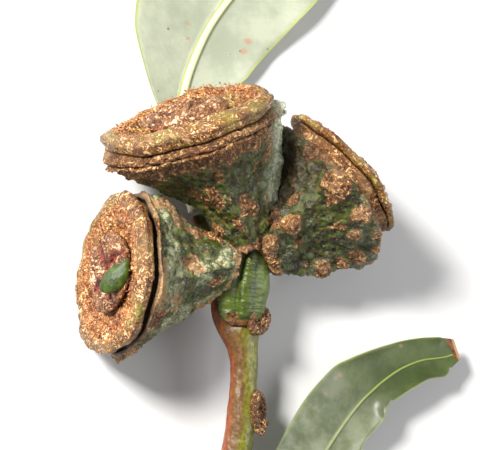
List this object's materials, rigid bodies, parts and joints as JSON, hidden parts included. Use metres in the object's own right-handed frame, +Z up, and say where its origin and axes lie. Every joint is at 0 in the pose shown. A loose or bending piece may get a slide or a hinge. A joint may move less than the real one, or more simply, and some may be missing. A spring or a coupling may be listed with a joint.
{
  "type": "eucalyptus gum nut sprig",
  "caption": "Leafy twig with a clustered head of ribbed, warty, disc-capped gum nuts on a short flattened stalk, lying on its side.",
  "frame": {"origin": "under the middle of the sprig's outline, on the surface it lies on", "axes": "+Y from the cut end of the twig to the upper leaf, +Z up from the surface, +X to the side of the lower leaf"},
  "size_m": [0.0645, 0.1162, 0.0288],
  "materials": {
    "bark": "smooth thin bark, orange-brown with a green side",
    "green_stalk": "glossy green, finely wrinkled",
    "cup": "waxy green with brown corky warts",
    "disc": "rough fibrous brown",
    "valves": "rough brown, reddish in the clefts",
    "pale_leaf": "matt grey-green underside with a pale midrib",
    "green_leaf": "satin mid green with a pale sheen"
  },
  "bodies": {
    "root": {"twig": "bark", "stalk": "green_stalk", "cup_left": "cup", "cup_top": "cup", "cup_right": "cup", "disc_left": "disc", "disc_top": "disc", "disc_right": "disc", "valves_left": "valves", "valves_top": "valves", "valves_right": "valves", "leaf_upper": "pale_leaf", "leaf_lower": "green_leaf"}
  },
  "joints": []
}
